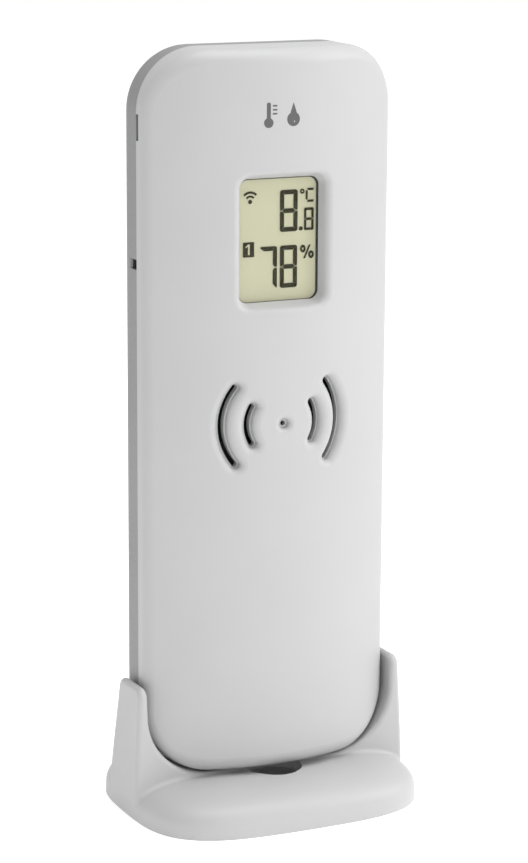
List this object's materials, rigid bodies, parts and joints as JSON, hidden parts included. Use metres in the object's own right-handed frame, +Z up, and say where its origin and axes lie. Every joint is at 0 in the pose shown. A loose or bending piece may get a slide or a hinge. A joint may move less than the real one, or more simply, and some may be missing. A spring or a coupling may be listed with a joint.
{
  "type": "wireless temperature and humidity sensor on table stand",
  "caption": "White wireless temperature and humidity sensor with a two-row display, wave-shaped vents and a grey back, standing in a lift-out cradle on an oval domed foot.",
  "frame": {"origin": "on the upright centre line of the case, within 0.6 mm of the centre of the oval foot, on the surface the stand rests on", "axes": "+Z up, the display faces -Y, +X to the right of the reader"},
  "size_m": [0.0589, 0.0474, 0.15],
  "materials": {
    "white_plastic": "satin",
    "grey_plastic": "satin",
    "clear_plastic": "polished",
    "lcd_glass": "polished",
    "reflector_foil": "satin",
    "black_rubber": "matte",
    "board_laminate": "satin",
    "black_plastic": "matte",
    "tinned_metal": "satin",
    "copper_wire": "satin",
    "lamp_plastic": "polished",
    "capacitor_sleeve": "satin",
    "cell_sleeve": "satin",
    "button_plastic": "matte",
    "screw_steel": "satin"
  },
  "bodies": {
    "stand": {"stand": "white_plastic"},
    "sensor": {"front_cover": "white_plastic", "back_cover": "grey_plastic", "display_lens": "clear_plastic", "lcd_panel": "lcd_glass", "lcd_reflector": "reflector_foil", "lcd_frame": "white_plastic", "contact_strips": "black_rubber", "circuit_board": "board_laminate", "controller_chip": "black_plastic", "radio_module": "tinned_metal", "antenna_coil": "copper_wire", "humidity_sensor": "black_plastic", "status_led": "lamp_plastic", "board_capacitors": "capacitor_sleeve", "battery_cell_left": "cell_sleeve", "battery_cell_right": "cell_sleeve", "plate_contacts": "tinned_metal", "spring_contacts": "tinned_metal", "channel_switch_body": "tinned_metal", "unit_switch_body": "black_plastic", "reset_switch_body": "black_plastic", "case_screws": "screw_steel", "board_screws": "screw_steel"},
    "door": {"battery_door": "grey_plastic"},
    "channel_slide": {"channel_slider": "black_plastic"},
    "unit_push": {"unit_button": "button_plastic"},
    "reset_push": {"reset_button": "button_plastic"}
  },
  "joints": [
    {"name": "sensor_lift", "type": "slide", "parent": "stand", "child": "sensor", "axis": [0, 0, 1], "range_m": [0, 0.025]},
    {"name": "door_off", "type": "slide", "parent": "sensor", "child": "door", "axis": [0, 1, 0], "range_m": [0, 0.012]},
    {"name": "channel_select", "type": "slide", "parent": "sensor", "child": "channel_slide", "axis": [1, 0, 0], "range_m": [-0.002, 0.002]},
    {"name": "unit_press", "type": "slide", "parent": "sensor", "child": "unit_push", "axis": [0, -1, 0], "range_m": [0, 0.0003], "stiffness_N_per_m": 400},
    {"name": "reset_press", "type": "slide", "parent": "sensor", "child": "reset_push", "axis": [0, -1, 0], "range_m": [0, 0.0003], "stiffness_N_per_m": 400}
  ]
}
